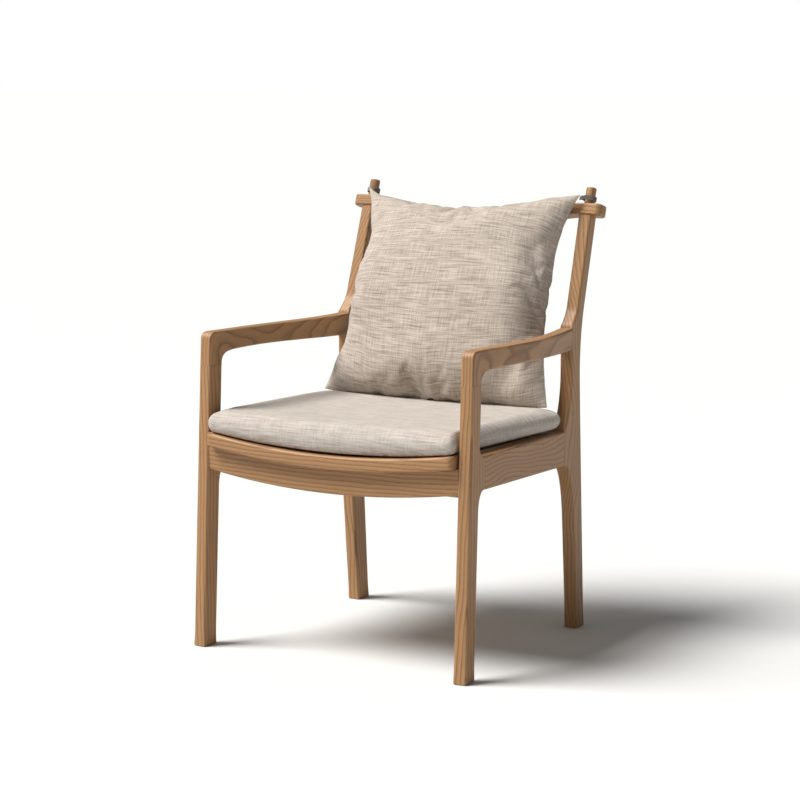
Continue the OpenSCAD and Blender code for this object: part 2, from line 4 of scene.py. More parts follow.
import bmesh
import bpy
import numpy as np
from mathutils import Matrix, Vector


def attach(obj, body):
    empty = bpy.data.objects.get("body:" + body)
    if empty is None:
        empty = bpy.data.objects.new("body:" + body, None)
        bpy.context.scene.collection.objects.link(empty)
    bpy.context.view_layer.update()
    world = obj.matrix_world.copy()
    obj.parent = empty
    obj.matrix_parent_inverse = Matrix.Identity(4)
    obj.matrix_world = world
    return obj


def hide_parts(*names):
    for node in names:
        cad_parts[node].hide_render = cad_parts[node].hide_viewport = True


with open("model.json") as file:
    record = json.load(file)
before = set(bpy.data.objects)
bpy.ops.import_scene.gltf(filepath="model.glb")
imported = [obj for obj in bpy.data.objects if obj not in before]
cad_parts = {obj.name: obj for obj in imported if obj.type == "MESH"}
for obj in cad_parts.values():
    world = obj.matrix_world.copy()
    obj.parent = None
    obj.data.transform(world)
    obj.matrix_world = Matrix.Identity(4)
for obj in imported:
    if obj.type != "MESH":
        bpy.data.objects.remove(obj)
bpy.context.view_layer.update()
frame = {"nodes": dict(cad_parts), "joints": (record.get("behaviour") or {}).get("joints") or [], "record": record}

# A wooden armchair in oiled ash with a slub linen seat and a loose linen back cushion.
# Lengths are in metres. Every place comes from the CAD nodes: an outline is read off a node's mesh,
# its edges are rounded as a router would, and the piece stands for that node.

SIDES = ("left", "right")
EDGE_R = 0.0042        # rounding of the timber's long edges
JOINT_GROOVE = 0.00022  # the fine line that shows at a glued joint
FOOT_R = 0.0015
FADE = 0.012           # length over which rounding fades out at a joint
OUTLINE_STEP = 0.006
ROUND_STEPS = 5
SEED_STEP = 3.7        # distance in the grain pattern between one piece and the next
BAND_R = 0.0030
CREST_R = 0.0040
ARM_BEND = 0.047       # from the arm's front and top to the centre of its corner
ARM_BEND_R = 0.030     # radius of the grain's turn there
ARM_CUT = 0.009        # length of the arm's bowed facets
PEG_HIDDEN = 0.0215    # how far the peg reaches down into the crest rail
TAKE_UP = 1.07         # the cushion's flat cover over the stuffed cushion
SETTLE = 0.009         # how much fuller the cushion is low down
FRONT_PROUD = 0.004    # how far the cushion's front may stand out of the CAD cushion
BACK_CLEAR = 0.001


# ---------------------------------------------------------------- outlines read from the CAD nodes

def node_points(name):
    mesh = frame["nodes"][name].data
    points = np.empty(len(mesh.vertices) * 3)
    mesh.vertices.foreach_get("co", points)
    return points.reshape(-1, 3)


def set_places(mesh, points):
    mesh.vertices.foreach_set("co", np.asarray(points, np.float32).ravel())


def set_pattern(mesh, name, lines):
    """Keeps pattern coordinates on the mesh's points, for a material to read by name."""
    attribute = mesh.attributes.new(name, "FLOAT_VECTOR", "POINT")
    attribute.data.foreach_set("vector", np.asarray(lines, np.float32).ravel())


def side_axes(side):
    """Rows are the side frame's own directions: backward, up and outward."""
    rail = frame["nodes"]["side_rail_" + side].data
    outward = np.array(max(rail.polygons, key=lambda f: f.area).normal)
    outward *= np.sign(outward[0]) * (1 if side == "right" else -1)
    back = np.cross((0, 0, 1), outward)
    return np.array([back * np.sign(back[1]), (0, 0, 1), outward])


def lean_axes():
    """Rows are across the chair, square to the posts and up along them."""
    up = np.array(frame["joints"][0]["axis"])
    across = np.array((1.0, 0, 0))
    return np.array([across, np.cross(up, across), up])


FLAT_AXES = np.eye(3)


def outlines(name, axes):
    """Closed outlines of the node's face that looks along the third axis, the longest first, in axes."""
    bm = bmesh.new()
    bm.from_mesh(frame["nodes"][name].data)
    bmesh.ops.remove_doubles(bm, verts=bm.verts, dist=1e-5)
    bm.normal_update()
    facing = {f for f in bm.faces if f.normal.dot(Vector(axes[2])) > 0.7}
    follow = {}
    for edge in bm.edges:
        if sum(f in facing for f in edge.link_faces) == 1:
            a, b = edge.verts
            follow.setdefault(a, []).append(b)
            follow.setdefault(b, []).append(a)
    loops = []
    while follow:
        start = next(iter(follow))
        loop, last, here = [start], None, start
        while True:
            ahead = [v for v in follow[here] if v is not last]
            last, here = here, ahead[0]
            if here is start:
                break
            loop.append(here)
        for v in loop:
            del follow[v]
        loops.append(np.array([v.co for v in loop]) @ axes.T)
    bm.free()
    return sorted((counter_clockwise(straightened(p)) for p in loops), key=perimeter, reverse=True)


def perimeter(loop):
    return np.linalg.norm(np.roll(loop, -1, 0) - loop, axis=1).sum()


def counter_clockwise(loop):
    x, y = loop[:, 0], loop[:, 1]
    area = (x * np.roll(y, -1) - y * np.roll(x, -1)).sum()
    return loop if area > 0 else loop[::-1]


def directions(loop):
    ahead = np.roll(loop, -1, 0)[:, :2] - loop[:, :2]
    length = np.linalg.norm(ahead, axis=1)
    return ahead / np.maximum(length, 1e-9)[:, None], length


def straightened(loop, least_turn=math.radians(0.25)):
    """The outline without the points that lie on a straight stretch."""
    ahead, _ = directions(loop)
    turn = np.arccos(np.clip((ahead * np.roll(ahead, 1, 0)).sum(1), -1, 1))
    return loop[turn > least_turn]


def smoothed(loop, step=OUTLINE_STEP, corner=math.radians(24)):
    """More points along the outline, on a smooth curve wherever it doesn't turn a corner."""
    ahead, length = directions(loop)
    before, before_length = np.roll(ahead, 1, 0), np.roll(length, 1)
    turn = np.arccos(np.clip((ahead * before).sum(1), -1, 1))
    mean = ahead * length[:, None] + before * before_length[:, None]
    mean /= np.linalg.norm(mean, axis=1)[:, None]
    soft = (turn < corner)[:, None]
    leaving, arriving = np.where(soft, mean, ahead), np.where(soft, mean, before)
    points = []
    for i in range(len(loop)):
        j = (i + 1) % len(loop)
        count = max(1, math.ceil(length[i] / step))
        t = (np.arange(count) / count)[:, None]
        points.append((2 * t**3 - 3 * t**2 + 1) * loop[i, :2]
                      + (t**3 - 2 * t**2 + t) * length[i] * leaving[i]
                      + (3 * t**2 - 2 * t**3) * loop[j, :2] + (t**3 - t**2) * length[i] * arriving[j])
    return np.vstack(points)


def curve_through(x, y):
    """A smooth function through the points (x, y)."""
    x, pick = np.unique(np.round(x, 5), return_index=True)
    y = y[pick]
    slope = np.gradient(y, x)

    def value(at):
        at = np.clip(at, x[0], x[-1])
        i = np.clip(np.searchsorted(x, at) - 1, 0, len(x) - 2)
        width = x[i + 1] - x[i]
        t = (at - x[i]) / width
        return ((2 * t**3 - 3 * t**2 + 1) * y[i] + (t**3 - 2 * t**2 + t) * width * slope[i]
                + (3 * t**2 - 2 * t**3) * y[i + 1] + (t**3 - t**2) * width * slope[i + 1])
    return value


def smoothstep(t):
    t = np.clip(t, 0, 1)
    return t * t * (3 - 2 * t)


def ring_mesh(name, rings):
    """A closed mesh from rings of points, each an outline and its height, one below the other."""
    count = len(rings[0][0])
    verts = np.vstack([np.column_stack([ring, np.full(count, height)]) for ring, height in rings])
    last = (len(rings) - 1) * count
    faces = [list(range(count)), list(range(last, last + count))[::-1]]
    for start in range(0, last, count):
        for i in range(count):
            j = (i + 1) % count
            faces.append([start + i, start + count + i, start + count + j, start + j])
    mesh = bpy.data.meshes.new(name)
    mesh.from_pydata([tuple(v) for v in verts], [], faces)
    return mesh


# ---------------------------------------------------------------- timber with rounded edges

def glued_edges(loop, neighbours, reach=0.0006):
    """Marks the edges of the outline that lie against a neighbour's outline."""
    ahead, length = directions(loop)
    middle = loop + ahead * length[:, None] / 2
    glued = np.zeros(len(loop), bool)
    for other in neighbours:
        away, span = directions(other)
        for p, d, s in zip(other[:, :2], away, span):
            offset = middle - p
            along = offset @ d
            off = np.abs(offset @ np.array((-d[1], d[0])))
            glued |= (off < reach) & (along > 0) & (along < s) & (ahead @ d < -0.95)
    return glued


def insets(loop, radius, glued, limit=None):
    """How far each point of the outline moves inward where its edge is rounded by radius."""
    ahead, _ = directions(loop)
    inward = np.stack([-ahead[:, 1], ahead[:, 0]], 1)
    ends = [(loop[k], ahead[i]) for i in np.nonzero(glued)[0] for k in (i, (i + 1) % len(loop))]

    def depth(edge, point):
        if glued[edge]:
            return JOINT_GROOVE
        near = [np.linalg.norm(loop[point] - p) for p, d in ends if abs(ahead[edge] @ d) > 0.87]
        full = min(radius, limit(loop[point])) if limit else radius
        return full * float(smoothstep(min(near) / FADE)) if near else full

    moves = np.empty_like(loop)
    for i in range(len(loop)):
        n1, n2 = inward[i - 1], inward[i]
        d1, d2 = depth((i - 1) % len(loop), i), depth(i, i)
        if abs(n1[0] * n2[1] - n1[1] * n2[0]) < 0.4:
            moves[i] = (n1 * d1 + n2 * d2) / (1 + n1 @ n2)
        else:
            moves[i] = np.linalg.solve(np.array([n1, n2]), (d1, d2))
    return moves


def rounded_plate(name, axes, loop, low, high, radius=EDGE_R, neighbours=(), limit=None,
                  shift=None, cuts=((), ()), grain=None, turns=ROUND_STEPS):
    """A piece with the given outline and thickness, its edges rounded. shift moves it along axis three."""
    loop = smoothed(loop)
    moves = insets(loop, radius, glued_edges(loop, neighbours), limit)
    angles = np.linspace(0, math.pi / 2, turns + 1)
    share, drop = 1 - np.sin(angles), radius * (1 - np.cos(angles))
    rings = [(loop + moves * f, high - g) for f, g in zip(share, drop)]
    rings += [(loop + moves * f, low + g) for f, g in zip(share[::-1], drop[::-1])]
    mesh = ring_mesh(name, rings)
    bm = bmesh.new()
    bm.from_mesh(mesh)
    for axis, places in enumerate(cuts):
        normal = [0, 0, 0]
        normal[axis] = 1
        for place in places:
            point = [0, 0, 0]
            point[axis] = place
            everything = bm.verts[:] + bm.edges[:] + bm.faces[:]
            bmesh.ops.bisect_plane(bm, geom=everything, plane_co=point, plane_no=normal, dist=1e-5)
    if shift:
        for v in bm.verts:
            v.co.z += float(shift(v.co.x))
    bm.to_mesh(mesh)
    bm.free()
    return placed(name, mesh, axes, grain)


def placed(name, mesh, axes, grain):
    """Turns a mesh from its own axes into the chair's, and keeps its grain coordinates on its points."""
    points = np.empty(len(mesh.vertices) * 3)
    mesh.vertices.foreach_get("co", points)
    points = points.reshape(-1, 3)
    lines = (grain or (lambda p: p))(points).astype(np.float32)
    lines[:, 0] += SEED_STEP * len(pieces)
    set_pattern(mesh, "grain", lines)
    set_places(mesh, points @ axes)
    bm = bmesh.new()
    bm.from_mesh(mesh)
    bmesh.ops.recalc_face_normals(bm, faces=bm.faces)
    bm.to_mesh(mesh)
    bm.free()
    return finished(name, mesh)


pieces = []


def finished(name, mesh, sharp=math.radians(34)):
    """Makes the object, smooth over its roundings and flat over its faces."""
    mesh.shade_smooth()
    mesh.set_sharp_from_angle(angle=sharp)
    mesh.update()
    piece = bpy.data.objects.new(name, mesh)
    bpy.context.scene.collection.objects.link(piece)
    if mesh.attributes.get("grain"):
        weighted = piece.modifiers.new("flat faces stay flat", "WEIGHTED_NORMAL")
        weighted.keep_sharp = True
    pieces.append(piece)
    return piece


def stands_for(piece, node, body="chair"):
    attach(piece, body)
    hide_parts(node)
    return piece


def grain_upright(p):
    return np.stack([p[:, 1], p[:, 0], p[:, 2]], 1)


def grain_along_first(p):
    return p.copy()


def grain_round_corner(centre, radius):
    """Grain that comes up the front and turns backward round the arm's corner."""
    def lines(p):
        s, z, n = p.T
        ahead, up = s - centre[0], z - centre[1]
        angle = np.arctan2(np.maximum(up, 0), np.maximum(-ahead, 0))
        along = np.where(up < 0, up, np.where(ahead > 0, radius * math.pi / 2 + ahead, radius * angle))
        across = np.where(up < 0, -ahead, np.where(ahead > 0, up, np.hypot(ahead, up)))
        return np.stack([along, across, n], 1)
    return lines


def foot_limit(floor):
    def limit(point):
        return FOOT_R + (EDGE_R - FOOT_R) * float(smoothstep((point[1] - floor) / 0.03))
    return limit


def make_side(side):
    """The leg, post, arm and rail of one side frame."""
    axes = side_axes(side)
    names = {key: f"{key}_{side}" for key in ("leg_front", "post_rear", "arm", "side_rail")}
    shapes = {key: outlines(name, axes)[0] for key, name in names.items()}
    depth = (node_points(names["side_rail"]) @ axes.T)[:, 2]
    low, high = depth.min(), depth.max()
    crest = crest_section(side, axes)
    for key, loop in shapes.items():
        others = [o for k, o in shapes.items() if k != key]
        shift, cuts, grain, limit = None, ((), ()), grain_upright, None
        if key == "arm":
            shift = curve_through(loop[:, 0], loop[:, 2] - high)
            front, top = loop[:, 0].min(), loop[:, 1].max()
            bend = (front + ARM_BEND, top - ARM_BEND)
            cuts = (np.arange(front + 0.012, loop[:, 0].max(), ARM_CUT),
                    np.arange(loop[:, 1].min() + 0.01, top, ARM_CUT))
            grain = grain_round_corner(bend, ARM_BEND_R)
        elif key == "side_rail":
            grain = grain_along_first
        else:
            limit = foot_limit(loop[:, 1].min())
        if key == "post_rear":
            others.append(crest)
        piece = rounded_plate(names[key] + "_timber", axes, loop[:, :2], low, high, neighbours=others,
                              limit=limit, shift=shift, cuts=cuts, grain=grain)
        stands_for(piece, names[key])
        if key == "post_rear":
            add_peg(piece, names[key])


def peg_centre(side):
    """Where the post's peg stands, square to the leaned-back direction."""
    peg = node_points("post_rear_" + side) @ lean_axes().T
    crown = peg[peg[:, 2] > peg[:, 2].max() - 1e-4]
    return (crown[:, :2].max(0) + crown[:, :2].min(0)) / 2


def crest_section(side, axes):
    """The crest rail's cross-section over the post, as an outline in the side frame's first two axes."""
    local = node_points("crest_rail") @ lean_axes().T
    ends = local[np.abs(local[:, 0]) > np.abs(local[:, 0]).max() * 0.8]
    (_, front, low), (_, rear, high) = ends.min(0), ends.max(0)
    x = peg_centre(side)[0]
    corners = np.array([(x, front, low), (x, rear, low), (x, rear, high), (x, front, high)])
    return counter_clockwise((corners @ lean_axes() @ axes.T)[:, :2])


def lathe(profile, segments=40):
    """Mesh data of a turned shape from its (radius, height) profile, closed at both ends."""
    turns = np.linspace(0, 2 * math.pi, segments, endpoint=False)
    verts = [(r * math.cos(t), r * math.sin(t), h) for r, h in profile for t in turns]
    last = (len(profile) - 1) * segments
    faces = [list(range(segments))[::-1], list(range(last, last + segments))]
    for start in range(0, last, segments):
        for i in range(segments):
            j = (i + 1) % segments
            faces.append([start + i, start + j, start + segments + j, start + segments + i])
    return verts, faces


def add_peg(post, node):
    """The round peg that the post is turned to above its shoulder."""
    axes = lean_axes()
    points = node_points(node) @ axes.T
    crest_top = (node_points("crest_rail") @ axes.T)[:, 2].max()
    top = points[:, 2].max()
    centre = peg_centre("left" if node.endswith("left") else "right")
    shank = points[points[:, 2] > crest_top + 1e-4]
    radius = np.linalg.norm(shank[:, :2] - centre, axis=1).max()
    soft = 0.0022
    foot = crest_top - PEG_HIDDEN
    profile = [(radius, foot + k * (top - soft - foot) / 10) for k in range(11)]
    profile += [(radius - soft * (1 - math.cos(a)), top - soft * (1 - math.sin(a)))
                for a in np.linspace(0.3, math.pi / 2, 5)]
    verts, faces = lathe(profile)
    mesh = bpy.data.meshes.new("peg")
    mesh.from_pydata(verts, [], faces)
    points = np.array(verts)
    x, y, height = points.T
    set_pattern(mesh, "grain", np.stack([height + SEED_STEP * len(pieces), x * 0.6, y * 0.6 + 0.02], 1))
    points[:, :2] += centre
    set_places(mesh, points @ axes)
    bm = bmesh.new()
    bm.from_mesh(post.data)
    bm.from_mesh(mesh)
    bmesh.ops.recalc_face_normals(bm, faces=bm.faces)
    bm.to_mesh(post.data)
    bm.free()
    bpy.data.meshes.remove(mesh)
    post.data.shade_smooth()
    post.data.set_sharp_from_angle(angle=math.radians(34))


def make_band(node, radius, ends):
    """The apron, lip or rear rail: a band across the chair that may bow in plan and dip in its height."""
    loop = outlines(node, FLAT_AXES)[0]
    points = node_points(node)
    middle = np.abs(points[:, 0]) < np.abs(points[:, 0]).max() * 0.98
    dip = np.polyfit(loop[:, 0], loop[:, 2], 2)
    top = dip[2]
    sag = np.polyval(dip, points[:, 0]) - top
    thick = top - (points[:, 2] - sag)[middle].min()
    reach = np.abs(loop[:, 0]).max()
    piece = rounded_plate(node + "_timber", FLAT_AXES, loop[:, :2], top - thick, top, radius=radius,
                          neighbours=ends, shift=lambda x: np.polyval(dip, x) - top,
                          cuts=(np.linspace(-reach, reach, 41)[1:-1], ()), grain=grain_along_first)
    return stands_for(piece, node)


def frame_plans():
    """The four legs' and posts' outlines as seen from above, which the bands are glued to."""
    plans = []
    for side in SIDES:
        axes = side_axes(side)
        for key in ("leg_front_", "post_rear_"):
            local = node_points(key + side) @ axes.T
            low, high = local.min(0), local.max(0)
            corners = np.array([(low[0], 0, low[2]), (high[0], 0, low[2]),
                                (high[0], 0, high[2]), (low[0], 0, high[2])])
            plans.append(counter_clockwise((corners @ axes)[:, :2]))
    return plans


def top_line(name, axes):
    """The height of a node's upper face along the first axis, and the node's thickness at its ends."""
    mesh = frame["nodes"][name].data
    points = node_points(name) @ axes.T
    upper = sorted({v for f in mesh.polygons if f.normal.dot(Vector(axes[2])) > 0.7 for v in f.vertices})
    ends = points[np.abs(points[:, 0]) > np.abs(points[:, 0]).max() * 0.8]
    return curve_through(points[upper, 0], points[upper, 2]), np.ptp(ends[:, 2])


def make_crest():
    axes = lean_axes()
    loops = outlines("crest_rail", axes)
    depth = (node_points("crest_rail") @ axes.T)[:, 2]
    line, thick = top_line("crest_rail", axes)
    high = depth.max()
    reach = np.abs(loops[0][:, 0]).max()
    piece = rounded_plate("crest_rail_timber", axes, loops[0][:, :2], high - thick, high, radius=CREST_R,
                          shift=lambda x: line(x) - high, cuts=(np.linspace(-reach, reach, 61)[1:-1], ()),
                          grain=grain_along_first)
    for hole in loops[1:]:
        centre = (hole[:, :2].max(0) + hole[:, :2].min(0)) / 2
        radius = (hole[:, 0].max() - hole[:, 0].min()) / 2
        verts, faces = lathe([(radius, depth.min() - 0.01), (radius, depth.max() + 0.01)])
        mesh = bpy.data.meshes.new("bore")
        places = np.array(verts)
        places[:, :2] += centre
        mesh.from_pydata([tuple(p) for p in places @ axes], [], faces)
        cutter = bpy.data.objects.new("bore", mesh)
        bpy.context.scene.collection.objects.link(cutter)
        cut = piece.modifiers.new("bore", "BOOLEAN")
        cut.operation, cut.solver, cut.object = "DIFFERENCE", "EXACT", cutter
        piece.modifiers.move(piece.modifiers.find("bore"), 0)
        apply_modifier(piece, "bore")
        bpy.data.objects.remove(cutter)
    return stands_for(piece, "crest_rail")


def apply_modifier(piece, name):
    with bpy.context.temp_override(object=piece, active_object=piece, selected_objects=[piece]):
        bpy.ops.object.modifier_apply(modifier=name)


def refine(piece):
    """Halves the faces once, which softens them."""
    fine = piece.modifiers.new("fine", "SUBSURF")
    fine.levels = fine.render_levels = 1
    apply_modifier(piece, "fine")


def make_spindle(index):
    """A turned spindle with a soft swelling, along the line of its CAD node."""
    node = f"spindle_{index}"
    points = node_points(node)
    rows = points[:, 1:] - points[:, 1:].mean(0)
    _, _, direction = np.linalg.svd(rows, full_matrices=False)
    up = np.array((0, *direction[0])) * np.sign(direction[0][1])
    across = np.array((1.0, 0, 0))
    axes = np.array([across, np.cross(up, across), up])
    local = points @ axes.T
    middle = (local.max(0) + local.min(0)) / 2
    low, high = local[:, 2].min(), local[:, 2].max()
    radius = (local[:, 0].max() - local[:, 0].min()) / 2
    end_r = np.linalg.norm(local[local[:, 2] > high - 1e-4][:, :2] - middle[:2], axis=1).max()
    socket = 0.0135
    shaft = np.linspace(low + socket, high - socket, 33)
    belly = np.sin(np.pi * ((shaft - shaft[0]) / (shaft[-1] - shaft[0])) ** 0.78)
    swelling = [(end_r + (radius - end_r) * b, h) for h, b in zip(shaft, belly)]
    profile = [(end_r, low)] + swelling + [(end_r, high)]
    verts, faces = lathe(profile, 28)
    mesh = bpy.data.meshes.new(node)
    mesh.from_pydata([(x + middle[0], y + middle[1], z) for x, y, z in verts], [], faces)
    piece = placed(node + "_turned", mesh, axes, lambda p: np.stack([p[:, 2], p[:, 0], p[:, 1]], 1))
    return stands_for(piece, node)


# ---------------------------------------------------------------- upholstery

def cushion_axes():
    """The back cushion's own axes (across, square to it backward, up along it), its centre and half width."""
    points = node_points("back_pillow")
    half = points[:, 0].max()
    tips = points[np.abs(points[:, 0]) > half * 0.985]
    split = (tips[:, 2].max() + tips[:, 2].min()) / 2
    low, high = tips[tips[:, 2] < split].mean(0), tips[tips[:, 2] > split].mean(0)
    up = (high - low) * (0, 1, 1)
    up /= np.linalg.norm(up)
    across = np.array((1.0, 0, 0))
    axes = np.array([across, np.cross(up, across), up])
    return axes, (low + high) / 2 * (0, 1, 1), half


def grid_pillow(half_w, half_h, columns, rows):
    """Two flat sheets joined round their rim, with their flat coordinates for each point."""
    across, up = np.linspace(-half_w, half_w, columns + 1), np.linspace(-half_h, half_h, rows + 1)
    verts, flat, index = [], [], {}
    for sheet in (-1, 1):
        for j, z in enumerate(up):
            for i, x in enumerate(across):
                rim = i in (0, columns) or j in (0, rows)
                if rim and sheet > 0:
                    index[sheet, i, j] = index[-1, i, j]
                    continue
                index[sheet, i, j] = len(verts)
                verts.append((x, 0 if rim else sheet * 0.003, z))
                flat.append((x, z, sheet))
    faces = []
    for sheet in (-1, 1):
        for j in range(rows):
            for i in range(columns):
                corners = [index[sheet, i, j], index[sheet, i + 1, j],
                           index[sheet, i + 1, j + 1], index[sheet, i, j + 1]]
                faces.append(corners if sheet < 0 else corners[::-1])
    return verts, faces, np.array(flat)


def inflate(piece, pressure, frames, bending):
    """Swells a closed mesh as stuffed cloth, and keeps the result."""
    cloth = piece.modifiers.new("stuffing", "CLOTH")
    settings = cloth.settings
    settings.quality = 6
    settings.mass = 0.35
    settings.tension_stiffness = settings.compression_stiffness = 22
    settings.shear_stiffness = 8
    settings.bending_stiffness = bending
    settings.air_damping = 4
    settings.use_pressure = True
    settings.uniform_pressure_force = pressure
    settings.effector_weights.gravity = 0
    cloth.collision_settings.use_collision = False
    cloth.collision_settings.use_self_collision = False
    cloth.point_cache.frame_start, cloth.point_cache.frame_end = 1, frames
    for number in range(1, frames + 1):
        bpy.context.scene.frame_set(number)
    apply_modifier(piece, "stuffing")
    bpy.context.scene.frame_set(1)


def gather(points, centre, reach):
    """A soft weight round a point of the flat pattern."""
    return np.exp(-(((points - centre) / reach) ** 2).sum(1))


def make_pillow():
    """A stuffed cushion with knife edges and four ears, blown up from two flat sheets of cloth."""
    axes, centre, half_w = cushion_axes()
    local = (node_points("back_pillow") - centre) @ axes.T
    half_h, front, rear = local[:, 2].max(), -local[:, 1].min(), local[:, 1].max()
    columns, rows = ((84, 72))
    verts, faces, flat = grid_pillow(half_w * TAKE_UP, half_h * TAKE_UP, columns, rows)
    mesh = bpy.data.meshes.new("back_pillow_cover")
    mesh.from_pydata(verts, [], faces)
    piece = finished("back_pillow_cover", mesh)
    inflate(piece, PILLOW_PRESSURE, PILLOW_FRAMES, bending=0.6)
    points = np.array([v.co for v in piece.data.vertices])
    sheet = flat[:, 2]
    u, v = flat[:, 0] / (half_w * TAKE_UP), flat[:, 1] / (half_h * TAKE_UP)

    # the rim goes to the cushion's own outline, the front stays full and the back lies flat on the spindles
    fit_rim(points, u, v, 0, half_w, side_pull)
    fit_rim(points, v, u, 2, half_h, end_pull)
    points[:, 1] *= np.where(points[:, 1] < 0, front / -points[:, 1].min(), rear / points[:, 1].max())

    # the seams stay straight where the cloth's edge would buckle
    points[:, 1] *= 1 - 0.75 * np.maximum(np.abs(u), np.abs(v)) ** 10

    # the filling settles: fuller below, emptier under the top edge
    belly = np.clip(1 - u**2, 0, 1) * np.clip(1 - v**2, 0, 1)
    is_front = sheet < 0
    points[:, 1] -= np.where(is_front, -SETTLE * belly * v, 0)
    # folds run down from the top edge where it is pulled in
    for place, depth, width, lean in TOP_FOLDS:
        ridge = np.exp(-(((u - place - lean * (1 - v)) / width) ** 2)) * smoothstep((v - 0.62) / 0.38)
        points[:, 2] -= depth * ridge * smoothstep((v - 0.8) / 0.2)
        points[:, 1] += np.where(is_front, depth * 1.3, -depth * 0.3) * ridge * (1 - np.abs(v) ** 14)
    # pleats along the bottom seam, where the filling is heaviest
    for place, depth, width in BOTTOM_PLEATS:
        ridge = np.exp(-(((u - place) / width) ** 2)) * smoothstep((-v - 0.72) / 0.28)
        points[:, 1] += np.where(is_front, depth, 0) * ridge * (1 - np.abs(v) ** 20)
    # soft hollows beside the right edge and across the face
    for pu, pv, ru, rv, depth in HOLLOWS:
        points[:, 1] += np.where(is_front, depth, 0) * gather(np.stack([u, v], 1), (pu, pv), (ru, rv))
    # the back stays inside the CAD cushion's, so that it clears the crest rail as it lifts
    levels = np.linspace(-half_h, half_h, 13)
    middles = (levels[1:] + levels[:-1]) / 2
    margin = 0.01
    behind = [local[(local[:, 2] >= a - margin) & (local[:, 2] <= b + margin), 1].max()
              for a, b in zip(levels, levels[1:])]
    back = np.interp(points[:, 2], middles, behind) - BACK_CLEAR
    points[:, 1] = np.clip(points[:, 1], -front - FRONT_PROUD, back)
    set_places(piece.data, points @ axes + centre)
    set_pattern(piece.data, "weave", flat * (1, 1, 0.1))
    refine(piece)
    stands_for(piece, "back_pillow", "pillow")
    return piece


def fit_rim(points, u, v, axis, half, pull):
    """Stretches each line of the pattern along one axis so that its two ends lie on the cushion's rim."""
    rows = np.unique(np.round(v, 5))
    for sign in (-1, 1):
        rim = np.abs(u - sign) < 1e-5
        order = np.argsort(v[rim])
        now = np.interp(rows, v[rim][order], points[rim, axis][order])
        now = np.convolve(np.pad(now, 3, mode="edge"), np.full(7, 1 / 7), mode="valid")
        wanted = half - pull(rows, sign)
        ratio = np.interp(v, rows, wanted / np.abs(now))
        most = np.interp(v, rows, wanted)
        here = np.sign(u) == sign
        points[here, axis] = sign * np.minimum(np.abs(points[here, axis]) * ratio[here], most[here])
        points[rim, axis] = sign * most[rim]


def side_pull(v, _side):
    """How far the cushion's sides pull in. The lower corners spread where they rest on the seat."""
    return 0.030 * (1 - np.abs(v) ** 3.2) * (1 + 0.22 * v) - 0.010 * smoothstep(-v)


def end_pull(u, end):
    """How far the top edge sags between the ears. The bottom edge follows the dished seat down."""
    if end < 0:
        return -0.006 - 0.008 * (1 - np.abs(u) ** 2.2)
    places, sag = np.array(TOP_SAG).T
    return curve_through(places, sag)(u) - 0.003 * np.abs(u) ** 6


PILLOW_PRESSURE = 9
PILLOW_FRAMES = 22
# the top edge's sag at places across it, most a little left of the middle
TOP_SAG = ((-1, 0), (-0.87, 0.015), (-0.68, 0.022), (-0.42, 0.029), (-0.06, 0.034), (0.3, 0.026),
           (0.54, 0.018), (0.75, 0.009), (1, 0))
# place across, depth, width and lean of each fold that runs down from the top edge
TOP_FOLDS = ((-0.06, 0.007, 0.045, -0.12), (-0.33, 0.006, 0.06, -0.05), (0.34, 0.005, 0.06, 0.0))
BOTTOM_PLEATS = ((-0.42, 0.004, 0.030), (-0.10, 0.007, 0.028), (0.04, 0.008, 0.024), (0.16, 0.006, 0.026),
                 (0.45, 0.004, 0.030))
# centre across and up, reach across and up, and depth of each hollow in the face
HOLLOWS = ((0.72, 0.30, 0.10, 0.22, 0.014), (0.66, -0.62, 0.10, 0.16, 0.012),
           (-0.2, 0.55, 0.35, 0.10, 0.004))


